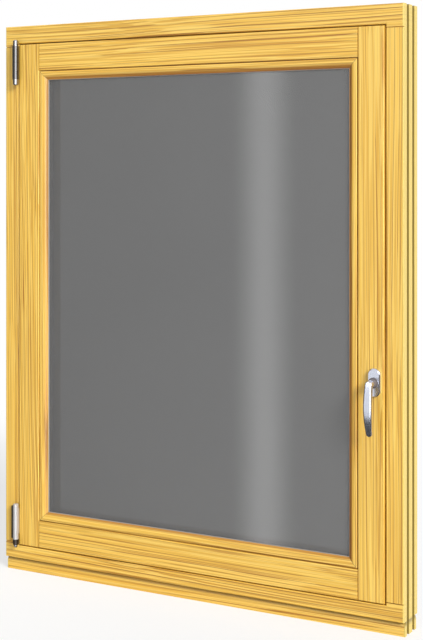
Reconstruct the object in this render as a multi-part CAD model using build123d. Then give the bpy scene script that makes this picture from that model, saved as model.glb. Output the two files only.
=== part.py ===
# Tilt and turn window of pine, seen from the room.
# Millimetres. +X to the right seen from the room, room face towards -Y, +Z up.
# Origin: centre of the underside of the base profile.
# Sections are drawn as (u, v): u from the frame's outer edge towards the glass,
# v from the frame's room face towards the outside.
from build123d import *
import os

os.makedirs("parts", exist_ok=True)

# overall size
frame_width = 1000.0
frame_height = 1250.0
base_height = 30.0
profile_depth = 78.0

# frame members
reveal_side = 38.0
reveal_head = 41.0
reveal_bottom = 30.0
overlap_recess = 18.0
recess_depth = 14.0
stop_width = 24.0
stop_front = 50.0
shoulder = 7.0
edge_groove = 12.5
edge_groove_depth = 6.0
frame_arris = 2.0
weather_slope = 4.0
low_stop = 10.0
joint_groove = 1.8
joint_groove_depth = 3.5
cut_margin = 1.0

# sash members
sash_proud = 3.0
sash_edge_gap = 3.0
stile_face = 57.5
rail_face = 62.0
overlap_thick = 14.0
hardware_air = 12.0
stop_air = 4.0
seal_gap = 3.0
sash_back = 66.0
lip_width = 20.0
lip_chamfer = 12.0
lip_chamfer_depth = 8.0
arris = 2.0
inner_arris = 1.5

# glazing
bead_width = 21.5
bead_set_back = 0.5
bead_flat = 8.0
bead_lip = 1.5
bead_lip_drop = 6.0
bead_gap = 2.2
bead_gap_depth = 3.5
bead_seal = 2.0
outer_seal = 3.0
glass_depth = 7.0
glass_thick = 4.0
glass_cavity = 20.0
glass_edge_air = 4.0
spacer_inset = 2.0
spacer_width = 10.0
seal_width = 5.0
seal_show = 1.0
centre_gasket_inset = 2.0

# base profile and rain rail
base_set_back = 8.0
base_slope_depth = 5.0
base_slope_height = 9.0
rail_skin = 2.0
rail_upstand = 14.0
rail_drop = 12.0
rail_cap_length = 12.0
cap_extra = 2.0

# handle
handle_height = 481.0
handle_backset = 20.0
rose_width = 27.0
rose_height = 58.0
rose_thick = 8.0
rose_bevel = 2.0
collar_radius = 11.0
collar_length = 3.0
neck_radius = 9.0
neck_tip_radius = 7.0
neck_clearance = 0.05
neck_seat = 2.0
lever_rise = 7.0
lever_reach = 106.0
lever_root_width = 15.0
lever_mid_width = 17.6
lever_tip_width = 12.6
lever_root_gap = 24.0
lever_mid_gap = 33.0
lever_tip_gap = 24.0
lever_root_thick = 11.0
lever_mid_thick = 10.0
lever_tip_thick = 8.0
lever_round = 3.0

# hinges
hinge_axis_inset = 0.5
leaf_thick = 2.5
leaf_air = 0.3
pin_radius = 3.5
pin_clearance = 0.05
knuckle_air = 0.3
arm_thick = 3.0
edge_plate = 2.0
edge_plate_depth = 13.0
upper_barrel_radius = 8.0
upper_hinge_drop = 47.0
upper_hinge_length = 78.0
upper_knuckles = 4
upper_leaf_show = 8.5
lower_barrel_radius = 6.5
lower_sleeve_low = 77.0
lower_sleeve_length = 83.0
lower_cup_length = 12.0
lower_strip_width = 7.0
lower_strip_depth = 8.0
lower_strip_rise = 76.0
knob_radius = 6.5
knob_length = 14.0
knob_bevel = 2.0
lower_knob_radius = 4.5
lower_knob_length = 7.0

# derived sizes
half_width = frame_width / 2
room_y = -profile_depth / 2
top_z = base_height + frame_height
overlap_back = overlap_thick - sash_proud
body_back = stop_front - seal_gap
glass_stack = 2 * glass_thick + glass_cavity
lip_front = glass_depth + glass_stack + outer_seal
side_floor = reveal_side + sash_edge_gap + stile_face
top_floor = reveal_head + sash_edge_gap + rail_face
bottom_floor = reveal_bottom + sash_edge_gap + rail_face


def outline(points, rounded=(), radius=1.0):
    """Closed section; the listed corners are rounded."""
    face = make_face(Polyline(*points, close=True))
    if not rounded:
        return face
    corners = [
        vertex for vertex in face.vertices()
        if any(abs(vertex.X - u) + abs(vertex.Y - v) < 0.01 for u, v in rounded)
    ]
    return fillet(corners, radius)


def member(section, side, low, high):
    """Runs a section along one side of the window between two coordinates."""
    planes = {
        "left": Plane((-half_width, room_y, low), x_dir=(1, 0, 0), z_dir=(0, 0, 1)),
        "right": Plane((half_width, room_y, high), x_dir=(-1, 0, 0), z_dir=(0, 0, -1)),
        "top": Plane((low, room_y, top_z), x_dir=(0, 0, -1), z_dir=(1, 0, 0)),
        "bottom": Plane((high, room_y, base_height), x_dir=(0, 0, 1), z_dir=(-1, 0, 0)),
    }
    return extrude(planes[side] * section, amount=high - low)


def block(x_range, v_range, z_range):
    """Box between three pairs of limits, v measured from the room face."""
    sizes = [b - a for a, b in (x_range, v_range, z_range)]
    centre = [(a + b) / 2 for a, b in (x_range, v_range, z_range)]
    return Pos(centre[0], room_y + centre[1], centre[2]) * Box(*sizes)


def ring(inset, width, v_low, v_high):
    """Rectangular ring round the opening, inset from the rebate floor."""
    outer_x = half_width - side_floor - inset
    low = base_height + bottom_floor + inset
    high = top_z - top_floor - inset
    whole = block((-outer_x, outer_x), (v_low, v_high), (low, high))
    inner_x = outer_x - width
    hole = block((-inner_x, inner_x), (v_low - cut_margin, v_high + cut_margin),
                 (low + width, high - width))
    return whole - hole


def upright(x, v, radius, low, high):
    """Vertical cylinder."""
    return Pos(x, room_y + v, (low + high) / 2) * Cylinder(radius, high - low)


parts = {}

# plan of the frame: rounded corners and the two grooves down each end
band = (profile_depth - 2 * edge_groove) / 3
groove_starts = (band, 2 * band + edge_groove)


def groove_points(edge, depth_sign, starts):
    """Corner points of the outer-edge grooves, walked along one edge."""
    points = []
    for start, end in starts:
        for u, v in ((0, start), (edge_groove_depth, start), (edge_groove_depth, end), (0, end)):
            points.append((edge + depth_sign * u, v))
    return points


down = [(start + edge_groove, start) for start in reversed(groove_starts)]
up = [(start, start + edge_groove) for start in groove_starts]
plan_corners = [
    (-half_width, 0), (half_width, 0), (half_width, profile_depth), (-half_width, profile_depth)]
plan_points = (
    [(-half_width, 0), (half_width, 0)] + groove_points(half_width, -1, up)
    + [(half_width, profile_depth), (-half_width, profile_depth)]
    + groove_points(-half_width, 1, down))
plan_plane = Plane((0, room_y, 0), x_dir=(1, 0, 0), z_dir=(0, 0, 1))
plan = extrude(plan_plane * outline(plan_points, plan_corners, frame_arris), amount=top_z)


def joint_cut(x_range, v, z_range):
    """Narrow groove along a joint line, cut from both members."""
    half = joint_groove / 2
    if x_range[0] == x_range[1]:
        x_range = (x_range[0] - half, x_range[1] + half)
    else:
        z_range = (z_range[0] - half, z_range[1] + half)
    return block(x_range, (v - cut_margin, v + joint_groove_depth), z_range)


# frame
def frame_section(reveal, stop_top_front, stop_top_back):
    wall = reveal + overlap_recess
    points = [
        (0, 0), (reveal, 0), (reveal, recess_depth), (wall, recess_depth),
        (wall, stop_front), (stop_top_front, stop_front),
        (stop_top_back, profile_depth), (0, profile_depth),
    ] + groove_points(0, 1, down)
    return outline(points, [(0, 0), (reveal, 0), (0, profile_depth)], frame_arris)


side_stop = reveal_side + overlap_recess + stop_width
head_stop = reveal_head + overlap_recess + stop_width
bottom_stop = reveal_bottom + overlap_recess + low_stop
side_section = frame_section(reveal_side, side_stop, side_stop)
head_section = frame_section(reveal_head, head_stop, head_stop)
bottom_section = frame_section(reveal_bottom, bottom_stop, bottom_stop - weather_slope)

head_bar = member(head_section, "top", -half_width, half_width)
bottom_bar = member(bottom_section, "bottom", -half_width, half_width)
head_line = top_z - reveal_head - shoulder
foot_line = base_height + reveal_bottom + shoulder
joints, upper_ends, lower_ends = [], [], []
for side, edge in (("left", -1), ("right", 1)):
    ends = sorted((edge * half_width, edge * (half_width - reveal_side)))
    front = block(ends, (0, recess_depth), (0, top_z))
    upper_ends.append(
        member(side_section, side, head_line, head_line + shoulder + frame_arris) & front)
    lower_ends.append(
        member(side_section, side, foot_line - shoulder - frame_arris, foot_line) & front)
    for line in (head_line, foot_line):
        joints.append(joint_cut(ends, 0, (line, line)))
for side, name in (("left", "frame_jamb_hinge_side"), ("right", "frame_jamb_handle_side")):
    jamb = member(side_section, side, base_height + reveal_bottom, top_z - reveal_head)
    parts[name] = jamb - head_bar - bottom_bar - upper_ends - lower_ends - joints
parts["frame_head"] = (head_bar & plan) + upper_ends - joints
parts["frame_bottom_rail"] = (bottom_bar & plan) + lower_ends - joints

# base profile under the bottom rail
base_low, base_high = base_set_back, profile_depth - base_set_back
slope_z = base_height - base_slope_height
base_face = make_face(Polyline(
    (base_low, 0), (base_high, 0), (base_high, slope_z), (base_high - base_slope_depth, base_height),
    (base_low + base_slope_depth, base_height), (base_low, slope_z), close=True))
base_plane = Plane((-half_width, room_y, 0), x_dir=(0, 1, 0), z_dir=(1, 0, 0))
parts["frame_base_profile"] = extrude(base_plane * base_face, amount=frame_width) & plan

# rain rail on the weather side of the bottom rail
rain_front = bottom_stop
rain_back = bottom_stop - weather_slope


def rain_section(skin):
    return make_face(Polyline(
        (rain_front, stop_front), (rain_front + rail_upstand, stop_front),
        (rain_front + rail_upstand, stop_front + skin),
        (rain_front + skin, stop_front + skin),
        (rain_back + skin, profile_depth + rail_skin),
        (rain_back - rail_drop, profile_depth + rail_skin),
        (rain_back - rail_drop, profile_depth), (rain_back, profile_depth), close=True))


rain_end = half_width - side_stop
rain_x = rain_end - rail_cap_length
cap_skin = rail_skin + cap_extra
parts["rain_rail"] = member(rain_section(rail_skin), "bottom", -rain_x, rain_x)
parts["rain_rail_cap_left"] = member(rain_section(cap_skin), "bottom", -rain_end, -rain_x)
parts["rain_rail_cap_right"] = member(rain_section(cap_skin), "bottom", rain_x, rain_end)


# sash
def sash_points(reveal, inner):
    edge = reveal + sash_edge_gap
    body = reveal + overlap_recess + hardware_air
    outer = reveal + overlap_recess + stop_width + stop_air
    return [
        (edge, -sash_proud), (edge, overlap_back), (body, overlap_back), (body, body_back),
        (outer, body_back), (outer, sash_back),
    ] + inner


def sash_section(reveal, floor):
    lip = floor + lip_width
    inner = [
        (lip - lip_chamfer, sash_back), (lip, sash_back - lip_chamfer_depth),
        (lip, lip_front), (floor, lip_front), (floor, -sash_proud),
    ]
    edge = reveal + sash_edge_gap
    corners = [(edge, -sash_proud), (edge, overlap_back), (floor, -sash_proud)]
    return outline(sash_points(reveal, inner), corners, arris)


def sash_envelope(reveal):
    inner = [(top_z, sash_back), (top_z, -sash_proud)]
    edge = reveal + sash_edge_gap
    return outline(sash_points(reveal, inner), [(edge, -sash_proud), (edge, overlap_back)], arris)


sash_low = base_height + reveal_bottom + sash_edge_gap
sash_high = top_z - reveal_head - sash_edge_gap
hole_x = half_width - side_floor
hole_low = base_height + bottom_floor
hole_high = top_z - top_floor
top_envelope = member(sash_envelope(reveal_head), "top", -half_width, half_width)
bottom_envelope = member(sash_envelope(reveal_bottom), "bottom", -half_width, half_width)
sash_joints = [
    joint_cut((x, x), -sash_proud, z_range)
    for x in (-hole_x, hole_x) for z_range in ((sash_low, hole_low), (hole_high, sash_high))
]
stiles = {}
for side, name in (("left", "sash_stile_hinge_side"), ("right", "sash_stile_handle_side")):
    blank = member(sash_section(reveal_side, side_floor), side, sash_low, sash_high)
    whole = member(sash_envelope(reveal_side), side, sash_low, sash_high)
    face_range = (hole_x, half_width) if side == "right" else (-half_width, -hole_x)
    ends = [block(face_range, (-sash_proud, lip_front), z_range)
            for z_range in ((sash_low, hole_low), (hole_high, sash_high))]
    stile = (blank + (whole & ends[0]) + (whole & ends[1])) & top_envelope & bottom_envelope
    stiles[side] = stile
    parts[name] = stile - sash_joints
for side, name, reveal, floor in (
    ("top", "sash_top_rail", reveal_head, top_floor),
    ("bottom", "sash_bottom_rail", reveal_bottom, bottom_floor),
):
    rail = member(sash_section(reveal, floor), side, -hole_x, hole_x)
    parts[name] = rail - stiles["left"] - stiles["right"] - sash_joints


# glazing beads, mitred at the corners
def bead_section(floor):
    front = bead_set_back - sash_proud
    back = glass_depth - bead_seal
    inner = floor + bead_width
    lip_v = front + bead_lip_drop
    crest = floor + bead_gap
    edges = [
        Line((floor, back), (floor, bead_gap_depth)),
        Line((floor, bead_gap_depth), (crest, bead_gap_depth)),
        Line((crest, bead_gap_depth), (crest, front + inner_arris)),
        RadiusArc((crest, front + inner_arris), (crest + inner_arris, front), -inner_arris),
        Line((crest + inner_arris, front), (floor + bead_flat, front)),
        TangentArc((floor + bead_flat, front), (inner - bead_lip, lip_v), tangent=(1, 0)),
        Line((inner - bead_lip, lip_v), (inner, lip_v)),
        Line((inner, lip_v), (inner, back)),
        Line((inner, back), (floor, back)),
    ]
    return make_face(edges)


mitre_plane = Plane((0, room_y + glass_depth, 0), x_dir=(1, 0, 0), z_dir=(0, -1, 0))
in_x, in_low, in_high = hole_x - bead_width, hole_low + bead_width, hole_high - bead_width
mitres = {
    "top": ((-hole_x, hole_high), (hole_x, hole_high), (in_x, in_high), (-in_x, in_high)),
    "bottom": ((-hole_x, hole_low), (-in_x, in_low), (in_x, in_low), (hole_x, hole_low)),
    "left": ((-hole_x, hole_low), (-hole_x, hole_high), (-in_x, in_high), (-in_x, in_low)),
    "right": ((hole_x, hole_low), (in_x, in_low), (in_x, in_high), (hole_x, hole_high)),
}
bead_runs = {
    "top": (top_floor, -hole_x, hole_x),
    "bottom": (bottom_floor, -hole_x, hole_x),
    "left": (side_floor, hole_low, hole_high),
    "right": (side_floor, hole_low, hole_high),
}
for side, (floor, low, high) in bead_runs.items():
    prism = extrude(mitre_plane * make_face(Polyline(*mitres[side], close=True)),
                    amount=glass_depth + overlap_thick)
    parts["bead_" + side] = member(bead_section(floor), side, low, high) & prism

# glass, spacer and glazing seals
pane_x = hole_x - glass_edge_air
pane_z = (hole_low + glass_edge_air, hole_high - glass_edge_air)
inner_back = glass_depth + glass_thick
outer_front = inner_back + glass_cavity
parts["pane_inner"] = block((-pane_x, pane_x), (glass_depth, inner_back), pane_z)
parts["pane_outer"] = block((-pane_x, pane_x), (outer_front, outer_front + glass_thick), pane_z)
parts["glazing_spacer"] = ring(
    glass_edge_air + spacer_inset, spacer_width, inner_back, outer_front)
parts["glazing_seal_room_side"] = ring(
    bead_width + seal_show - seal_width, seal_width, glass_depth - bead_seal, glass_depth)
parts["glazing_seal_outside"] = ring(
    lip_width - seal_width, seal_width, lip_front - outer_seal, lip_front)


# gaskets between frame and sash
def gasket(offset, width, v_low, v_high):
    outer_x = half_width - reveal_side - offset
    low = base_height + reveal_bottom + offset
    high = top_z - reveal_head - offset
    whole = block((-outer_x, outer_x), (v_low, v_high), (low, high))
    hole = block((width - outer_x, outer_x - width), (v_low - cut_margin, v_high + cut_margin),
                 (low + width, high - width))
    return whole - hole


parts["frame_gasket_room_side"] = gasket(
    overlap_recess - seal_width, seal_width, overlap_back, recess_depth)
parts["frame_gasket_centre"] = gasket(
    overlap_recess + hardware_air + centre_gasket_inset, seal_width, body_back, stop_front)

# hinges on the left, all on one axis beside the sash edge
axis_x = -half_width + reveal_side - hinge_axis_inset
axis_v = -leaf_thick - leaf_air - upper_barrel_radius
sash_edge_x = -half_width + reveal_side + sash_edge_gap
leaf_edge_x = -half_width + reveal_side - frame_arris
bore_radius = pin_radius + pin_clearance


def edge_arm(low, high):
    """Arm from the barrel to a plate that lies on the sash edge, inside the gap."""
    arm = block((axis_x, sash_edge_x), (axis_v, axis_v + arm_thick), (low, high))
    plate = block((sash_edge_x - edge_plate, sash_edge_x),
                  (axis_v, edge_plate_depth - sash_proud), (low, high))
    return arm + plate


def knob(low, high, radius, end):
    """Pin head with a bevelled free end, end is -1 below or 1 above."""
    pin_head = upright(axis_x, axis_v, radius, low, high)
    free = pin_head.faces().sort_by(Axis.Z)[-1 if end > 0 else 0]
    return chamfer(free.edges(), min(knob_bevel, radius / 2))


# upper hinge: frame and sash knuckles in turn on one pin with two heads
upper_high = top_z - upper_hinge_drop
upper_low = upper_high - upper_hinge_length
leaf_x = (axis_x - upper_barrel_radius - upper_leaf_show, leaf_edge_x)
frame_bearing = block(leaf_x, (-leaf_thick, 0), (upper_low, upper_high))
sash_bearing = block((sash_edge_x - edge_plate, sash_edge_x),
                     (-leaf_thick, edge_plate_depth - sash_proud), (upper_low, upper_high))
step = upper_hinge_length / upper_knuckles
for index in range(upper_knuckles):
    a = upper_low + index * step + knuckle_air
    b = upper_low + (index + 1) * step - knuckle_air
    barrel = upright(axis_x, axis_v, upper_barrel_radius, a, b)
    if index % 2 == 0:
        web = block((axis_x - upper_barrel_radius, leaf_edge_x), (axis_v, -leaf_thick), (a, b))
        frame_bearing += barrel + web
    else:
        sash_bearing += barrel + edge_arm(a, b)
bore = upright(axis_x, axis_v, bore_radius, upper_low - cut_margin, upper_high + cut_margin)
parts["upper_hinge_frame_bearing"] = frame_bearing - bore
parts["upper_hinge_sash_bearing"] = sash_bearing - bore
pin = upright(axis_x, axis_v, pin_radius, upper_low, upper_high)
pin += knob(upper_high, upper_high + knob_length, knob_radius, 1)
pin += knob(upper_low - knob_length, upper_low, knob_radius, -1)
parts["upper_hinge_pin"] = pin

# lower hinge: cup and guard strip on the frame, long sleeve on the sash
sleeve_low = lower_sleeve_low
sleeve_high = sleeve_low + lower_sleeve_length
cup_high = sleeve_low - knuckle_air
cup_low = cup_high - lower_cup_length
strip_x = (axis_x - upper_barrel_radius - lower_strip_width, axis_x - upper_barrel_radius)
frame_bearing = block(strip_x, (-lower_strip_depth, 0), (sleeve_low, sleeve_low + lower_strip_rise))
frame_bearing += block((strip_x[0], leaf_edge_x), (-leaf_thick, 0), (cup_low, sleeve_low))
frame_bearing += block((axis_x - lower_barrel_radius, leaf_edge_x), (axis_v, -leaf_thick),
                       (cup_low, cup_high))
frame_bearing += upright(axis_x, axis_v, lower_barrel_radius, cup_low, cup_high)
sleeve = upright(axis_x, axis_v, lower_barrel_radius, sleeve_low, sleeve_high)
sleeve = chamfer(sleeve.faces().sort_by(Axis.Z)[-1].edges(), knob_bevel)
sleeve += edge_arm(sleeve_low + lower_cup_length, sleeve_high - lower_cup_length)
pin_top = sleeve_high - lower_cup_length
bore = upright(axis_x, axis_v, bore_radius, cup_low - cut_margin, pin_top)
parts["lower_hinge_frame_bearing"] = frame_bearing - bore
parts["lower_hinge_sash_sleeve"] = sleeve - bore
pin = upright(axis_x, axis_v, pin_radius, cup_low, pin_top)
pin += knob(cup_low - lower_knob_length, cup_low, lower_knob_radius, -1)
parts["lower_hinge_pin"] = pin

# handle: rose on the stile and lever that turns in its collar
handle_x = half_width - reveal_side - sash_edge_gap - handle_backset
handle_z = base_height + handle_height
face_y = room_y - sash_proud
rose_plane = Plane((handle_x, face_y, handle_z), x_dir=(1, 0, 0), z_dir=(0, -1, 0))
rose = extrude(rose_plane * SlotOverall(rose_height, rose_width, rotation=90), amount=rose_thick)
rose = chamfer(rose.faces().sort_by(Axis.Y)[0].edges(), rose_bevel)
collar = extrude(rose_plane * Circle(collar_radius), amount=rose_thick + collar_length)
seat = extrude(
    rose_plane.offset(neck_seat) * Circle(neck_radius + neck_clearance),
    amount=rose_thick + collar_length)
parts["handle_rose"] = rose + collar - seat

side_plane = Plane((handle_x + lever_mid_width / 2, face_y, handle_z), x_dir=(0, -1, 0),
                   z_dir=(-1, 0, 0))
lever_mid = (lever_rise - lever_reach) / 2
root_in, root_out = lever_root_gap, lever_root_gap + lever_root_thick
mid_out = lever_mid_gap + lever_mid_thick
tip_out = lever_tip_gap + lever_tip_thick
lever_side = make_face([
    ThreePointArc((root_in, lever_rise), (lever_mid_gap, lever_mid), (lever_tip_gap, -lever_reach)),
    Line((lever_tip_gap, -lever_reach), (tip_out, -lever_reach)),
    ThreePointArc((tip_out, -lever_reach), (mid_out, lever_mid), (root_out, lever_rise)),
    Line((root_out, lever_rise), (root_in, lever_rise)),
])
root_half, mid_half, tip_half = lever_root_width / 2, lever_mid_width / 2, lever_tip_width / 2
top_z_lever, low_z_lever = lever_rise - root_half, tip_half - lever_reach
lever_front = make_face([
    ThreePointArc((-root_half, top_z_lever), (-mid_half, lever_mid), (-tip_half, low_z_lever)),
    ThreePointArc((-tip_half, low_z_lever), (0, -lever_reach), (tip_half, low_z_lever)),
    ThreePointArc((tip_half, low_z_lever), (mid_half, lever_mid), (root_half, top_z_lever)),
    ThreePointArc((root_half, top_z_lever), (0, lever_rise), (-root_half, top_z_lever)),
])
lever = extrude(side_plane * lever_side, amount=lever_mid_width)
lever &= extrude(rose_plane * lever_front, amount=mid_out + lever_mid_thick)
lever = fillet(lever.edges(), lever_round)
neck_start = rose_thick + collar_length
neck_end = root_in + lever_root_thick / 2
neck = extrude(rose_plane.offset(neck_seat) * Circle(neck_radius), amount=neck_start - neck_seat)
taper = rose_plane.offset((neck_start + neck_end) / 2).location * Cone(
    neck_radius, neck_tip_radius, neck_end - neck_start)
parts["handle_lever"] = lever + neck + taper

for node, shape in parts.items():
    export_step(shape, f"parts/{node}.step")
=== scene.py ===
import math
import bpy
import bmesh
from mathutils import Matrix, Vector


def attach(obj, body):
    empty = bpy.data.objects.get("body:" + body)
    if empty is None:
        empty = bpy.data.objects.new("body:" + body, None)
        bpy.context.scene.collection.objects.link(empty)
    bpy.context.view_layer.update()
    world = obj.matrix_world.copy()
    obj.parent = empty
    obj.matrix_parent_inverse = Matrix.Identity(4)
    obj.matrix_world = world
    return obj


# Tilt and turn window in varnished pine, seen from the room, right of centre.
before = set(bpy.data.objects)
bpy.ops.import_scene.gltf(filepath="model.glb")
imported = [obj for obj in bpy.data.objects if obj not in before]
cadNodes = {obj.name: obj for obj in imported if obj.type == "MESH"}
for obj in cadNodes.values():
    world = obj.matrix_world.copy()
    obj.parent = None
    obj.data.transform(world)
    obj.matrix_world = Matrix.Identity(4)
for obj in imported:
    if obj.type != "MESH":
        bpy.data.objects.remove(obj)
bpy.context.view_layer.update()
print("frame loaded:", len(cadNodes), "nodes")

scene = bpy.context.scene
scene.view_settings.view_transform = "Standard"
plainWhite = (1.0, 1.0, 1.0)


def cadBoxOf(nodeName):
    item = cadNodes[nodeName]
    corners = [item.matrix_world @ Vector(corner) for corner in item.bound_box]
    low = [min(corner[axis] for corner in corners) for axis in range(3)]
    high = [max(corner[axis] for corner in corners) for axis in range(3)]
    return low, high


def addObject(name, mesh):
    item = bpy.data.objects.new(name, mesh)
    scene.collection.objects.link(item)
    return item


def addNode(tree, kind, values=None, **settings):
    node = tree.nodes.new(kind)
    for key, value in settings.items():
        setattr(node, key, value)
    for key, value in (values or {}).items():
        node.inputs[key].default_value = value
    return node


def newMaterial(name, shaderKind="ShaderNodeBsdfPrincipled", values=None):
    material = bpy.data.materials.new(name)
    material.use_nodes = True
    tree = material.node_tree
    tree.nodes.clear()
    shader = addNode(tree, shaderKind, values)
    output = addNode(tree, "ShaderNodeOutputMaterial")
    tree.links.new(shader.outputs[0], output.inputs["Surface"])
    return material, tree, shader


def feed(tree, socket, item):
    # a number, a colour or another node's output
    if isinstance(item, (int, float)):
        socket.default_value = item
    elif isinstance(item, tuple):
        socket.default_value = item + (1.0,)
    else:
        tree.links.new(item, socket)


def mathNode(tree, operation, *items):
    node = addNode(tree, "ShaderNodeMath", operation=operation)
    for socket, item in zip(node.inputs, items):
        feed(tree, socket, item)
    return node.outputs[0]


def largest(tree, first, *others):
    for item in others:
        first = mathNode(tree, "MAXIMUM", first, item)
    return first


def vectorNode(tree, operation, first, second=None):
    node = addNode(tree, "ShaderNodeVectorMath", operation=operation)
    tree.links.new(first, node.inputs[0])
    if isinstance(second, tuple):
        node.inputs[1].default_value = second
    elif second is not None:
        tree.links.new(second, node.inputs[1])
    return node.outputs["Value" if operation == "LENGTH" else "Vector"]


def noiseNode(tree, vector, scale=1.0, detail=1.0, roughness=0.5, output="Fac"):
    node = addNode(tree, "ShaderNodeTexNoise", {
        "Scale": scale, "Detail": detail, "Roughness": roughness})
    tree.links.new(vector, node.inputs["Vector"])
    return node.outputs[output]


def rangeNode(tree, value, fromMin, fromMax, toMin=0.0, toMax=1.0, shape="SMOOTHSTEP"):
    node = addNode(tree, "ShaderNodeMapRange", {
        "From Min": fromMin, "From Max": fromMax, "To Min": toMin, "To Max": toMax},
        interpolation_type=shape)
    tree.links.new(value, node.inputs["Value"])
    return node.outputs["Result"]


def rampNode(tree, source, stops):
    node = addNode(tree, "ShaderNodeValToRGB")
    ramp = node.color_ramp
    while len(ramp.elements) < len(stops):
        ramp.elements.new(0.5)
    for element, (position, colour) in zip(ramp.elements, stops):
        element.position = position
        element.color = colour + (1.0,)
    tree.links.new(source, node.inputs[0])
    return node.outputs["Color"]


def mixColour(tree, blend, factor, first, second):
    node = addNode(tree, "ShaderNodeMix", data_type="RGBA", blend_type=blend)
    for name, kind, item in (
            ("Factor", "VALUE", factor), ("A", "RGBA", first), ("B", "RGBA", second)):
        socket = [s for s in node.inputs if s.name == name and s.type == kind][0]
        feed(tree, socket, item)
    return [s for s in node.outputs if s.type == "RGBA"][0]


def tint(tree, wood, share, mask, tone):
    # lays a tone over the wood inside a mask, as strongly as its share
    return mixColour(tree, "MIX", mathNode(tree, "MULTIPLY", mask, share), wood, tone)


def objectCoords(tree):
    return addNode(tree, "ShaderNodeTexCoord").outputs["Object"]


def splitNode(tree, vector):
    node = addNode(tree, "ShaderNodeSeparateXYZ")
    tree.links.new(vector, node.inputs[0])
    return list(node.outputs)


def addBump(tree, shader, height, strength, distance):
    bump = addNode(tree, "ShaderNodeBump", {"Strength": strength, "Distance": distance})
    tree.links.new(height, bump.inputs["Height"])
    tree.links.new(bump.outputs["Normal"], shader.inputs["Normal"])


# pine: stretches count features per metre across, behind and along the board
pine = {
    "early": (0.78, 0.483, 0.066),
    "middle": (0.64, 0.365, 0.050),
    "late": (0.30, 0.135, 0.016),
    "ring": {"rail": 0.0082, "stile": 0.0056},
    "ringStops": (0.40, 0.66, 0.86, 0.95),  # early ends, middle, late, early again
    "ringStrength": (0.50, 0.50),  # least, and how much a ring may add
    "uneven": {"scale": 0.42, "detail": 1.0, "amount": 1.5},
    "wander": {"stretch": (7.0, 7.0, 1.1), "detail": 2.0, "rough": 0.45, "amount": 0.020},
    "warm": {"stretch": (14.0, 14.0, 0.9), "detail": 2.0, "rough": 0.5,
             "from": 0.35, "to": 0.70, "tone": (1.0, 0.95, 0.86)},
    "fibre": {"stretch": (280.0, 280.0, 1.2), "detail": 3.0, "rough": 0.6,
              "from": 0.38, "to": 0.54, "tone": (0.80, 0.72, 0.56)},
    "brown": {"stretch": (150.0, 150.0, 0.5), "detail": 1.0, "rough": 0.5,
              "from": 0.60, "full": 0.66, "to": 0.72, "tone": (0.70, 0.56, 0.36)},
    "pale": {"stretch": (430.0, 430.0, 0.8), "detail": 1.0, "rough": 0.5,
             "from": 0.49, "to": 0.58, "tone": (0.91, 0.635, 0.140), "share": 0.62},
    "rough": 0.38,
    "fibreRough": 0.10,
    "coat": 0.18,
    "coatRough": 0.22,
    "bump": {"strength": 0.5, "height": 0.00022, "fibre": 0.6, "ring": 0.25},
}


def layBoard(tree, coords, alongX, pith, tilt):
    # turns the board's length to Z and puts the heart of the tree in its place
    turn = addNode(tree, "ShaderNodeMapping", {
        "Rotation": (0, math.pi / 2 if alongX else 0, 0)})
    tree.links.new(coords, turn.inputs["Vector"])
    lay = addNode(tree, "ShaderNodeMapping", {
        "Location": (-pith[0], -pith[1], pith[2]), "Rotation": (tilt[0], tilt[1], 0)})
    tree.links.new(turn.outputs["Vector"], lay.inputs["Vector"])
    return lay.outputs["Vector"]


def drawnNoise(tree, vector, spec, output="Fac"):
    # noise drawn out along the board
    drawn = vectorNode(tree, "MULTIPLY", vector, spec["stretch"])
    return noiseNode(tree, drawn, 1.0, spec["detail"], spec["rough"], output)


def wanderingBoard(tree, board):
    # slow wander of the rings along the board, to both sides of their own place
    shift = drawnNoise(tree, board, pine["wander"], "Color")
    shift = vectorNode(tree, "ADD", shift, (-0.5, -0.5, -0.5))
    shift = vectorNode(tree, "MULTIPLY", shift, (pine["wander"]["amount"],) * 3)
    return vectorNode(tree, "ADD", board, shift)


def growthRings(tree, board, ring):
    flat = vectorNode(tree, "MULTIPLY", board, (1.0, 1.0, 0.0))
    turns = mathNode(tree, "MULTIPLY", vectorNode(tree, "LENGTH", flat), 1 / ring)
    # uneven ring widths
    spec = pine["uneven"]
    uneven = addNode(tree, "ShaderNodeTexNoise", {
        "Scale": spec["scale"], "Detail": spec["detail"]}, noise_dimensions="1D")
    tree.links.new(turns, uneven.inputs["W"])
    turns = mathNode(tree, "ADD", turns, mathNode(
        tree, "MULTIPLY", uneven.outputs["Fac"], spec["amount"]))
    phase = mathNode(tree, "FRACT", turns)
    earlyEnd, middle, late, again = pine["ringStops"]
    rings = rampNode(tree, phase, [
        (0.0, pine["early"]), (earlyEnd, pine["early"]), (middle, pine["middle"]),
        (late, pine["late"]), (again, pine["early"])])
    # ring strength differs from ring to ring
    chance = addNode(tree, "ShaderNodeTexWhiteNoise", noise_dimensions="1D")
    tree.links.new(mathNode(tree, "FLOOR", turns), chance.inputs["W"])
    least, more = pine["ringStrength"]
    strength = mathNode(tree, "MULTIPLY_ADD", chance.outputs["Value"], more, least)
    return phase, mixColour(tree, "MIX", strength, pine["early"], rings)


# sawn edges of the frame, left and right: depths into the wood from the edge, and the two
# grooves, given painted shade, by their middle and half width on both sides of the frame's own
# middle plane
frameEdge = {
    "depth": 0.0025,
    "tone": (0.63, 0.49, 0.112),
    "share": 0.8,
    "grooveFrom": 0.0007,
    "grooveTo": 0.0065,
    "grooveMiddle": 0.01508,
    "grooveHalf": 0.0066,
    "paintedShadeTone": (0.25, 0.185, 0.045),
    "grooveShadeShare": 0.9,
}


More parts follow.
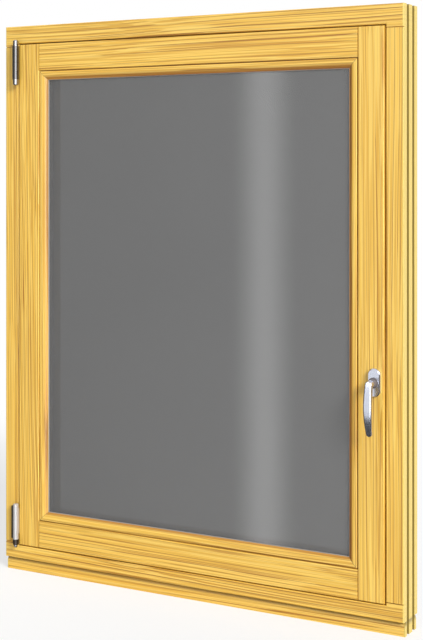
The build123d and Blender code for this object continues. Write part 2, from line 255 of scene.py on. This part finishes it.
def toneEdgesShadeGrooves(tree, coords, wood):
    x, y = splitNode(tree, coords)[:2]
    halfWidth = cadBoxOf("frame_head")[1][0]
    side = mathNode(tree, "ABSOLUTE", x)
    outer = mathNode(tree, "GREATER_THAN", side, halfWidth - frameEdge["depth"])
    wood = tint(tree, wood, frameEdge["share"], outer, frameEdge["tone"])
    # painted shade inside the two machined grooves, where shade falls in them
    across = mathNode(tree, "ABSOLUTE", mathNode(
        tree, "SUBTRACT", mathNode(tree, "ABSOLUTE", y), frameEdge["grooveMiddle"]))
    groove = mathNode(
        tree, "MULTIPLY",
        mathNode(tree, "LESS_THAN", side, halfWidth - frameEdge["grooveFrom"]),
        mathNode(tree, "GREATER_THAN", side, halfWidth - frameEdge["grooveTo"]))
    groove = mathNode(tree, "MULTIPLY", groove,
                      mathNode(tree, "LESS_THAN", across, frameEdge["grooveHalf"]))
    return tint(tree, wood, frameEdge["grooveShadeShare"], groove, frameEdge["paintedShadeTone"])


# painted shadow on the sloped upper edge of the base, under the frame's overhang: depths below
# its top
baseShadow = {"from": 0.0140, "full": 0.0015, "share": 0.85}


def shadeBaseTop(tree, coords, wood):
    # painted shadow, darker towards the top of the base
    top = cadBoxOf("frame_base_profile")[1][2]
    rise = rangeNode(tree, splitNode(tree, coords)[2],
                     top - baseShadow["from"], top - baseShadow["full"])
    return tint(tree, wood, baseShadow["share"], rise, frameEdge["paintedShadeTone"])


# glazing beads: how far behind the bead's face the painted shade starts and is full, its
# strength
beads = {
    "tone": (0.55, 0.35, 0.19),
    "paintedShade": {
        "bead_top": (0.0003, 0.0030, 0.90),
        "bead_bottom": (0.0017, 0.0047, 0.80),
        "bead_left": (-0.0001, 0.0033, 0.42),
        "bead_right": (0.0002, 0.0025, 0.95),
    },
    "mitre": {"line": 0.0008, "share": 0.7, "tone": (0.25, 0.185, 0.045)},
}


def shadeBeadAndMitre(tree, coords, wood, beadName):
    x, y, z = splitNode(tree, coords)
    # painted shade on the quarter round, deeper towards the glass
    face = cadBoxOf(beadName)[0][1]
    start, full, strength = beads["paintedShade"][beadName]
    deep = mixColour(tree, "MULTIPLY", 1.0, wood, beads["tone"])
    wood = tint(tree, wood, strength, rangeNode(tree, y, face + start, face + full), deep)
    # thin line where two mitred ends meet, inwards at 45 degrees from the outer corners
    (left, _, bottom), (_, _, top) = cadBoxOf("bead_left")
    mitre = beads["mitre"]
    reach = mathNode(tree, "SUBTRACT", mathNode(tree, "ABSOLUTE", x), -left)
    rise = mathNode(tree, "ABSOLUTE", mathNode(tree, "SUBTRACT", z, (top + bottom) / 2))
    rise = mathNode(tree, "SUBTRACT", rise, (top - bottom) / 2)
    apart = mathNode(tree, "ABSOLUTE", mathNode(tree, "SUBTRACT", reach, rise))
    seam = mathNode(tree, "LESS_THAN", apart, mitre["line"])
    return tint(tree, wood, mitre["share"], seam, mitre["tone"])


def makePine(name, alongX, pith, tilt, finish):
    material, tree, shader = newMaterial(name)
    coords = objectCoords(tree)
    board = layBoard(tree, coords, alongX, pith, tilt)
    moved = wanderingBoard(tree, board)
    phase, wood = growthRings(tree, moved, pine["ring"]["rail" if alongX else "stile"])
    warm, thin, brown, pale = (pine[key] for key in ("warm", "fibre", "brown", "pale"))
    # broad warm stretches
    shade = rampNode(tree, drawnNoise(tree, board, warm), [
        (warm["from"], plainWhite), (warm["to"], warm["tone"])])
    wood = mixColour(tree, "MULTIPLY", 1.0, wood, shade)
    # fine fibres
    fibre = drawnNoise(tree, board, thin)
    shade = rampNode(tree, fibre, [(thin["from"], thin["tone"]), (thin["to"], plainWhite)])
    wood = mixColour(tree, "MULTIPLY", 1.0, wood, shade)
    # sparse thin brown lines, and thin pale lines between them
    shade = rampNode(tree, drawnNoise(tree, moved, brown), [
        (brown["from"], plainWhite), (brown["full"], brown["tone"]),
        (brown["to"], plainWhite)])
    wood = mixColour(tree, "MULTIPLY", 1.0, wood, shade)
    bright = rangeNode(tree, drawnNoise(tree, moved, pale),
                       pale["from"], pale["to"], 0.0, pale["share"])
    wood = mixColour(tree, "MIX", bright, wood, pale["tone"])
    if finish in beads["paintedShade"]:
        wood = shadeBeadAndMitre(tree, coords, wood, finish)
    if finish in ("frame", "base"):
        wood = toneEdgesShadeGrooves(tree, coords, wood)
    if finish == "base":
        wood = shadeBaseTop(tree, coords, wood)
    tree.links.new(wood, shader.inputs["Base Color"])
    tree.links.new(mathNode(tree, "MULTIPLY_ADD", fibre, pine["fibreRough"], pine["rough"]),
                   shader.inputs["Roughness"])
    shader.inputs["Coat Weight"].default_value = pine["coat"]
    shader.inputs["Coat Roughness"].default_value = pine["coatRough"]
    bump = pine["bump"]
    height = mathNode(tree, "ADD", mathNode(tree, "MULTIPLY", fibre, bump["fibre"]),
                      mathNode(tree, "MULTIPLY", phase, bump["ring"]))
    addBump(tree, shader, height, bump["strength"], bump["height"])
    return material


# each member is cut from its own place in the log:
# lies along X, pith offset across, behind and along, tilt, finish
members = {
    "frame_head": (True, (-1.16, 0.07, 0.3), (0.010, 0.004), "frame"),
    "frame_bottom_rail": (True, (-1.18, 0.09, 1.9), (0.006, -0.005), "frame"),
    "frame_base_profile": (True, (-0.79, 0.05, 3.3), (0.006, 0.004), "base"),
    "frame_jamb_hinge_side": (False, (-0.59, 0.06, 0.7), (0.004, 0.006), "frame"),
    "frame_jamb_handle_side": (False, (0.37, 0.08, 2.4), (0.006, -0.006), "frame"),
    "sash_stile_hinge_side": (False, (-0.290, 0.05, 1.3), (0.010, 0.020), "sash"),
    "sash_stile_handle_side": (False, (0.55, 0.05, 3.1), (0.005, 0.008), "sash"),
    "sash_top_rail": (True, (-1.30, 0.05, 2.2), (0.008, 0.006), "sash"),
    "sash_bottom_rail": (True, (-1.02, 0.06, 0.9), (0.008, -0.006), "sash"),
    "bead_top": (True, (-1.25, 0.06, 4.1), (0.004, 0.003), "bead_top"),
    "bead_bottom": (True, (-0.06, 0.05, 5.2), (0.004, -0.003), "bead_bottom"),
    "bead_left": (False, (-0.47, 0.05, 3.6), (0.004, 0.003), "bead_left"),
    "bead_right": (False, (0.47, 0.05, 5.7), (0.003, -0.004), "bead_right"),
}
for nodeName, (alongX, pith, tilt, finish) in members.items():
    cadNodes[nodeName].material_slots[0].material = makePine(
        "pine_" + nodeName, alongX, pith, tilt, finish)
print("pine members:", len(members))


glass = {"tint": (0.34, 0.34, 0.34), "shade": 0.97, "grain": 2.0, "from": 0.3, "to": 0.7,
         "clear": 0.74, "ior": 1.50, "rough": 0.0}


def makeGlass(name):
    material, tree, shader = newMaterial(name)
    shade = tuple(c * glass["shade"] for c in glass["tint"])
    colour = rampNode(tree, noiseNode(tree, objectCoords(tree), glass["grain"]), [
        (glass["from"], shade), (glass["to"], glass["tint"])])
    tree.links.new(colour, shader.inputs["Base Color"])
    shader.inputs["Roughness"].default_value = glass["rough"]
    shader.inputs["Transmission Weight"].default_value = glass["clear"]
    shader.inputs["IOR"].default_value = glass["ior"]
    return material


metals = {
    "satin": {"colour": (0.61, 0.64, 0.73), "rough": 0.22, "grain": 900.0, "metal": 0.95},
    "silver": {"colour": (0.53, 0.52, 0.52), "rough": 0.34, "grain": 900.0, "metal": 0.45},
    "pin": {"colour": (0.36, 0.35, 0.36), "rough": 0.16, "grain": 900.0, "metal": 1.0},
    "dark": {"colour": (0.155, 0.15, 0.15), "rough": 0.085, "grain": 900.0, "metal": 1.0},
    "black": {"colour": (0.07, 0.060, 0.052), "rough": 0.34, "grain": 700.0, "metal": 1.0},
    "rail": {"colour": (0.58, 0.58, 0.59), "rough": 0.38, "grain": 300.0, "metal": 1.0},
    "spacer": {"colour": (0.72, 0.72, 0.72), "rough": 0.55, "grain": 300.0, "metal": 0.6},
}
# plain, darker parts, by how far in front of the sash face they start and end: painted shade
# over the turned collar and neck of the handle, between lever and rose; near-black upper hinge
# leaves
shadeAndDarkParts = {
    "collar": {"front": 0.0140, "back": 0.0083, "tone": (0.15, 0.135, 0.14)},
    "neck": {"front": 0.0238, "back": -0.0020, "tone": (0.15, 0.135, 0.14)},
    "leaf": {"front": 0.0010, "back": -0.0120, "tone": (0.014, 0.013, 0.013)},
}
brushing = {"upright": (1.0, 1.0, 0.05), "lying": (0.05, 1.0, 1.0), "shade": 0.96,
            "from": 0.35, "to": 0.65, "roughSpread": 0.04, "bump": 0.015,
            "bumpHeight": 0.00005, "plainShine": 0.18}


def makeMetal(name, kind, plainPart=None, direction="upright"):
    spec = metals[kind]
    material, tree, shader = newMaterial(name)
    coords = objectCoords(tree)
    brushed = addNode(tree, "ShaderNodeMapping", {"Scale": brushing[direction]})
    tree.links.new(coords, brushed.inputs["Vector"])
    grain = noiseNode(tree, brushed.outputs["Vector"], spec["grain"])
    shade = tuple(c * brushing["shade"] for c in spec["colour"])
    colour = rampNode(tree, grain, [
        (brushing["from"], shade), (brushing["to"], spec["colour"])])
    metallic = spec["metal"]
    if plainPart:
        # painted shade over the handle's collar and neck; near-black hinge leaves
        part = shadeAndDarkParts[plainPart]
        middle = cadBoxOf("sash_top_rail")[0][1] - (part["front"] + part["back"]) / 2
        away = mathNode(tree, "ABSOLUTE", mathNode(
            tree, "SUBTRACT", splitNode(tree, coords)[1], middle))
        inside = mathNode(tree, "LESS_THAN", away, (part["front"] - part["back"]) / 2)
        colour = mixColour(tree, "MIX", inside, colour, part["tone"])
        metallic = mathNode(tree, "MULTIPLY", mathNode(tree, "SUBTRACT", 1.0, inside), metallic)
        shader.inputs["Specular IOR Level"].default_value = brushing["plainShine"]
    feed(tree, shader.inputs["Metallic"], metallic)
    tree.links.new(colour, shader.inputs["Base Color"])
    spread = brushing["roughSpread"]
    rough = mathNode(tree, "MULTIPLY_ADD", grain, spread, spec["rough"] - spread / 2)
    tree.links.new(rough, shader.inputs["Roughness"])
    addBump(tree, shader, grain, brushing["bump"], brushing["bumpHeight"])
    return material


polymers = {
    "gasket": {"colour": (0.022, 0.022, 0.023), "rough": 0.62},
    "cap": {"colour": (0.035, 0.035, 0.037), "rough": 0.48},
    "silicone": {"colour": (0.36, 0.34, 0.31), "rough": 0.42},
}
moulding = {"grain": 900.0, "detail": 3.0, "light": 1.35, "from": 0.3, "to": 0.8,
            "roughSpread": 0.15, "bump": 0.25, "bumpHeight": 0.0001}


def makePolymer(name, kind):
    spec = polymers[kind]
    material, tree, shader = newMaterial(name)
    noise = noiseNode(tree, objectCoords(tree), moulding["grain"], moulding["detail"])
    light = tuple(c * moulding["light"] for c in spec["colour"])
    colour = rampNode(tree, noise, [
        (moulding["from"], spec["colour"]), (moulding["to"], light)])
    tree.links.new(colour, shader.inputs["Base Color"])
    rough = mathNode(tree, "MULTIPLY_ADD", noise, moulding["roughSpread"], spec["rough"])
    tree.links.new(rough, shader.inputs["Roughness"])
    addBump(tree, shader, noise, moulding["bump"], moulding["bumpHeight"])
    return material


finishes = {
    "pane_inner": makeGlass("glass_inner_pane"),
    "pane_outer": makeGlass("glass_outer_pane"),
    "handle_rose": makeMetal("handle_satin_rose", "satin", "collar"),
    "handle_lever": makeMetal("handle_satin_lever", "satin", "neck"),
    "upper_hinge_frame_bearing": makeMetal("hinge_dark_upper_frame", "dark", "leaf"),
    "upper_hinge_sash_bearing": makeMetal("hinge_dark_upper_sash", "dark", "leaf"),
    "upper_hinge_pin": makeMetal("hinge_steel_upper_pin", "pin"),
    "lower_hinge_frame_bearing": makeMetal("hinge_dark_lower_frame", "black"),
    "lower_hinge_sash_sleeve": makeMetal("hinge_silver_lower_sleeve", "silver"),
    "lower_hinge_pin": makeMetal("hinge_steel_lower_pin", "pin"),
    "rain_rail": makeMetal("rain_rail_metal", "rail", direction="lying"),
    "glazing_spacer": makeMetal("spacer_metal", "spacer"),
    "rain_rail_cap_left": makePolymer("rain_rail_cap_plastic_left", "cap"),
    "rain_rail_cap_right": makePolymer("rain_rail_cap_plastic_right", "cap"),
    "glazing_seal_room_side": makePolymer("glazing_silicone", "silicone"),
    "glazing_seal_outside": makePolymer("glazing_gasket_rubber", "gasket"),
    "frame_gasket_room_side": makePolymer("gasket_rubber_room_side", "gasket"),
    "frame_gasket_centre": makePolymer("gasket_rubber_centre", "gasket"),
}
for nodeName, material in finishes.items():
    cadNodes[nodeName].material_slots[0].material = material
print("finishes:", len(finishes))


slotCorners = 12


def rowTree():
    # round-ended slots at even spacing along every line of the path mesh
    tree = bpy.data.node_groups.new("slots_along_path", "GeometryNodeTree")
    for name, kind in (("Geometry", "Geometry"), ("Spacing", "Float"), ("Slot Size", "Vector"),
                       ("Facing", "Vector"), ("Material", "Material")):
        tree.interface.new_socket(name, in_out="INPUT", socket_type="NodeSocket" + kind)
    tree.interface.new_socket("Geometry", in_out="OUTPUT", socket_type="NodeSocketGeometry")
    link = tree.links.new
    start = addNode(tree, "NodeGroupInput")
    end = addNode(tree, "NodeGroupOutput")
    curve = addNode(tree, "GeometryNodeMeshToCurve")
    resample = addNode(tree, "GeometryNodeResampleCurve", mode="LENGTH")
    link(start.outputs["Geometry"], curve.inputs["Mesh"])
    link(curve.outputs["Curve"], resample.inputs["Curve"])
    link(start.outputs["Spacing"], resample.inputs["Length"])
    slot = addNode(tree, "GeometryNodeMeshCylinder", {
        "Vertices": slotCorners, "Radius": 0.5, "Depth": 1.0})
    scaled = addNode(tree, "GeometryNodeTransform")
    link(slot.outputs["Mesh"], scaled.inputs["Geometry"])
    link(start.outputs["Slot Size"], scaled.inputs["Scale"])
    tangent = addNode(tree, "GeometryNodeInputTangent")
    aim = addNode(tree, "FunctionNodeAlignRotationToVector", axis="X")
    link(tangent.outputs[0], aim.inputs["Vector"])
    lay = addNode(tree, "FunctionNodeAlignRotationToVector", axis="Z", pivot_axis="X")
    link(aim.outputs[0], lay.inputs["Rotation"])
    link(start.outputs["Facing"], lay.inputs["Vector"])
    place = addNode(tree, "GeometryNodeInstanceOnPoints")
    link(resample.outputs["Curve"], place.inputs["Points"])
    link(scaled.outputs["Geometry"], place.inputs["Instance"])
    link(lay.outputs[0], place.inputs["Rotation"])
    real = addNode(tree, "GeometryNodeRealizeInstances")
    link(place.outputs["Instances"], real.inputs["Geometry"])
    paint = addNode(tree, "GeometryNodeSetMaterial")
    link(real.outputs["Geometry"], paint.inputs["Geometry"])
    link(start.outputs["Material"], paint.inputs["Material"])
    link(paint.outputs["Geometry"], end.inputs["Geometry"])
    return tree


def slotsAlong(name, paths, spec, tree, material):
    # each path is a line of points and the way that its slots face
    parts = []
    for index, (points, toward) in enumerate(paths):
        mesh = bpy.data.meshes.new(name + "_path")
        mesh.from_pydata(points, [(i, i + 1) for i in range(len(points) - 1)], [])
        item = addObject("%s_%d" % (name, index), mesh)
        rows = item.modifiers.new("rows", "NODES")
        rows.node_group = tree
        values = {"Spacing": spec["spacing"], "Slot Size": spec["size"], "Facing": toward,
                  "Material": material}
        for socket in tree.interface.items_tree:
            if socket.in_out == "INPUT" and socket.name in values:
                rows[socket.identifier] = values[socket.name]
        parts.append(item)
    depsgraph = bpy.context.evaluated_depsgraph_get()
    whole = bmesh.new()
    for item in parts:
        whole.from_mesh(bpy.data.meshes.new_from_object(item.evaluated_get(depsgraph)))
        bpy.data.objects.remove(item)
    mesh = bpy.data.meshes.new(name)
    whole.to_mesh(mesh)
    whole.free()
    mesh.materials.append(material)
    piece = addObject(name, mesh)
    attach(piece, "window")
    return piece


# two rows of holes round the spacer, on its faces towards the glass, drawn as thin dark discs:
# painted shade where the open holes would be
perforation = {"spacing": 0.0055, "size": (0.0022, 0.0007, 0.0002), "rowInset": 0.0035,
               "frameWidth": 0.0100, "cornerGap": 0.006}


def makePerforations(tree, material):
    low, high = cadBoxOf("glazing_spacer")
    inset, gap = perforation["frameWidth"], perforation["cornerGap"]
    x, bottom, top = high[0] - inset, low[2] + inset, high[2] - inset
    paths = []
    for y in (low[1] + perforation["rowInset"], high[1] - perforation["rowInset"]):
        paths += [
            ([(-x, y, bottom + gap), (-x, y, top - gap)], (1, 0, 0)),
            ([(x, y, bottom + gap), (x, y, top - gap)], (-1, 0, 0)),
            ([(gap - x, y, bottom), (x - gap, y, bottom)], (0, 0, 1)),
            ([(gap - x, y, top), (x - gap, y, top)], (0, 0, -1))]
    piece = slotsAlong("spacer_perforations", paths, perforation, tree, material)


# oval outlets on the face of the rain rail that slopes down to its rear edge, drawn as thin
# dark discs: painted shade in place of open outlets
drain = {"spacing": 0.110, "size": (0.024, 0.005, 0.0003), "fromEdge": 0.012,
         "edgeRise": 0.0140, "slope": 1 / 7, "endGap": 0.07}


def makeDrains(tree, material):
    low, high = cadBoxOf("rain_rail")
    y = high[1] - drain["fromEdge"]
    z = low[2] + drain["edgeRise"] + drain["fromEdge"] * drain["slope"]
    reach = high[0] - drain["endGap"]
    piece = slotsAlong("rain_rail_outlets", [
        ([(-reach, y, z), (reach, y, z)], (0, drain["slope"], 1))], drain, tree, material)


# near-black painted shade for the thin slot discs, in place of the shade inside real openings
slotShadeTones = {"deep": (0.015, 0.015, 0.016), "light": (0.03, 0.03, 0.03), "grain": 600.0,
             "detail": 2.0, "from": 0.3, "to": 0.8, "rough": 0.7}


def makeSlotShade():
    material, tree, shader = newMaterial("slot_painted_shade")
    noise = noiseNode(tree, objectCoords(tree), slotShadeTones["grain"], slotShadeTones["detail"])
    colour = rampNode(tree, noise, [
        (slotShadeTones["from"], slotShadeTones["deep"]), (slotShadeTones["to"], slotShadeTones["light"])])
    tree.links.new(colour, shader.inputs["Base Color"])
    shader.inputs["Roughness"].default_value = slotShadeTones["rough"]
    return material


slotTree = rowTree()
slotShade = makeSlotShade()
makePerforations(slotTree, slotShade)
makeDrains(slotTree, slotShade)
print("details placed")


# white floor: it takes shadows near the window and is plain white from "white" outwards
floorLook = {"radius": 14.0, "sides": 96, "colour": (0.95, 0.955, 0.96), "rough": 0.9,
             "near": 0.9, "white": 2.4, "lift": 0.60}


def makeFloor():
    mesh = bpy.data.meshes.new("studio_floor")
    build = bmesh.new()
    bmesh.ops.create_circle(
        build, cap_ends=True, radius=floorLook["radius"], segments=floorLook["sides"])
    build.to_mesh(mesh)
    build.free()
    floor = addObject("studio_floor", mesh)
    material, tree, shader = newMaterial("floor_white")
    feed(tree, shader.inputs["Base Color"], floorLook["colour"])
    shader.inputs["Roughness"].default_value = floorLook["rough"]
    away = vectorNode(tree, "LENGTH", objectCoords(tree))
    far = rangeNode(tree, away, floorLook["near"], floorLook["white"], shape="LINEAR")
    rays = addNode(tree, "ShaderNodeLightPath").outputs
    seen = largest(tree, mathNode(tree, "MULTIPLY", far, rays["Is Camera Ray"]),
                   rays["Is Transmission Ray"], rays["Is Glossy Ray"],
                   mathNode(tree, "MULTIPLY", rays["Is Camera Ray"], floorLook["lift"]))
    white = addNode(tree, "ShaderNodeEmission", {"Color": (1, 1, 1, 1), "Strength": 1.0})
    mix = addNode(tree, "ShaderNodeMixShader")
    for item, socket in zip((seen, shader.outputs[0], white.outputs[0]), mix.inputs):
        tree.links.new(item, socket)
    tree.links.new(mix.outputs[0], tree.get_output_node("ALL").inputs["Surface"])
    mesh.materials.append(material)
    floor.visible_glossy = False


def makeCard(name, finish, corners, strength):
    # glowing card that is only seen as a reflection
    mesh = bpy.data.meshes.new(name)
    mesh.from_pydata(corners, [], [(0, 1, 2, 3)])
    card = addObject(name, mesh)
    material, tree, glow = newMaterial(finish, "ShaderNodeEmission", {
        "Color": (1, 1, 1, 1), "Strength": strength})
    mesh.materials.append(material)
    card.visible_camera = False
    card.visible_diffuse = False
    card.visible_shadow = False
    card.visible_transmission = False
    return tree, glow


# grey card behind the camera, mirrored by the pane: a slow slope across, one soft upright
# light band, darker below and brighter above
greyCard = {
    "y": -4.3,
    "x": (-4.2, -0.9),
    "z": (-3.5, 4.5),
    "slope": {"from": -4.0, "to": -1.5, "dark": 0.14, "light": 1.00},
    "band": {"x": -1.99, "half": 0.22, "strength": 2.6},
    "below": {"from": -2.6, "to": -1.4, "least": 0.12},
    "above": {"from": 1.8, "to": 2.6, "more": 1.86},
}


def makeGreyCard():
    (left, right), (low, high), y = greyCard["x"], greyCard["z"], greyCard["y"]
    tree, glow = makeCard("studio_card", "card_grey", [
        (left, y, low), (left, y, high), (right, y, high), (right, y, low)], 1.0)
    x, z = splitNode(tree, objectCoords(tree))[::2]
    slope, band = greyCard["slope"], greyCard["band"]
    below, above = greyCard["below"], greyCard["above"]
    level = rangeNode(tree, x, slope["from"], slope["to"], slope["dark"], slope["light"],
                      "LINEAR")
    away = mathNode(tree, "ABSOLUTE", mathNode(tree, "SUBTRACT", x, band["x"]))
    near = rangeNode(tree, away, 0.0, band["half"], band["strength"], 0.0)
    level = mathNode(tree, "ADD", level, near)
    shade = rangeNode(tree, z, below["from"], below["to"], shape="LINEAR")
    lift = rangeNode(tree, z, above["from"], above["to"], shape="LINEAR")
    level = mathNode(tree, "MULTIPLY", level, shade)
    level = mathNode(tree, "ADD", level, mathNode(tree, "MULTIPLY", lift, above["more"]))
    level = mathNode(tree, "MAXIMUM", level, below["least"])
    tree.links.new(level, glow.inputs["Strength"])


# bright card right of the camera for the long highlights, dark flags for the metal's edges
sideCards = {
    "side_card": {"from": (1.6, -4.3), "to": (3.4, -2.6), "z": (-1.0, 3.2), "strength": 6.0},
    "dark_flag_right": {"from": (3.4, -2.6), "to": (4.6, 3.0), "z": (-1.5, 3.2),
                        "strength": 0.05},
    "dark_flag_left": {"from": (-4.2, 1.0), "to": (-4.2, -4.3), "z": (-1.5, 4.5),
                       "strength": 0.05},
}
lowFlag = {"x": (-4.2, 4.6), "y": (1.0, -4.3), "z": -1.5, "strength": 0.05}


def makeSideCards():
    for name, spec in sideCards.items():
        (x, y), (farX, farY), (low, high) = spec["from"], spec["to"], spec["z"]
        makeCard(name, name, [
            (x, y, low), (farX, farY, low), (farX, farY, high), (x, y, high)],
            spec["strength"])
    (left, right), (back, front), z = lowFlag["x"], lowFlag["y"], lowFlag["z"]
    makeCard("dark_flag_low", "dark_flag_low", [
        (left, back, z), (right, back, z), (right, front, z), (left, front, z)],
        lowFlag["strength"])


worldLight = {"ambient": 0.48, "background": 1.0}


def makeWorld():
    world = bpy.data.worlds.new("studio_world")
    scene.world = world
    world.use_nodes = True
    tree = world.node_tree
    tree.nodes.clear()
    output = addNode(tree, "ShaderNodeOutputWorld")
    rays = addNode(tree, "ShaderNodeLightPath").outputs
    seen = largest(tree, rays["Is Camera Ray"], rays["Is Transmission Ray"],
                   rays["Is Glossy Ray"])
    mix = addNode(tree, "ShaderNodeMixShader")
    tree.links.new(seen, mix.inputs[0])
    for index, key in ((1, "ambient"), (2, "background")):
        light = addNode(tree, "ShaderNodeBackground", {
            "Color": (1, 1, 1, 1), "Strength": worldLight[key]})
        tree.links.new(light.outputs[0], mix.inputs[index])
    tree.links.new(mix.outputs[0], output.inputs["Surface"])


keyLight = {"towards": (0.77, -0.45, 0.46), "angle": 18.0, "strength": 3.35, "away": 6}


def makeKeyLight():
    data = bpy.data.lights.new("key_light", "SUN")
    data.angle = math.radians(keyLight["angle"])
    data.energy = keyLight["strength"]
    lamp = addObject("key_light", data)
    towards = Vector(keyLight["towards"])
    lamp.location = towards * keyLight["away"]
    lamp.rotation_euler = (-towards).to_track_quat("-Z", "Y").to_euler()


makeFloor()
makeGreyCard()
makeSideCards()
makeWorld()
makeKeyLight()
print("studio ready")


# matched to the photograph's lines: it looks level, and the shift keeps the uprights upright
camera = {
    "place": (1.5152, -2.6527, 0.9464),
    "turn": 29.155,
    "lens": 77.628,
    "sensor": 36.0,
    "shift": -0.23707,
    "reach": 60.0,
}
cameraData = bpy.data.cameras.new("room_camera")
cameraData.lens = camera["lens"]
cameraData.sensor_width = camera["sensor"]
cameraData.shift_y = camera["shift"]
cameraData.clip_end = camera["reach"]
roomCamera = addObject("room_camera", cameraData)
roomCamera.location = camera["place"]
roomCamera.rotation_euler = (math.radians(90), 0, math.radians(camera["turn"]))
scene.camera = roomCamera
print("camera placed")
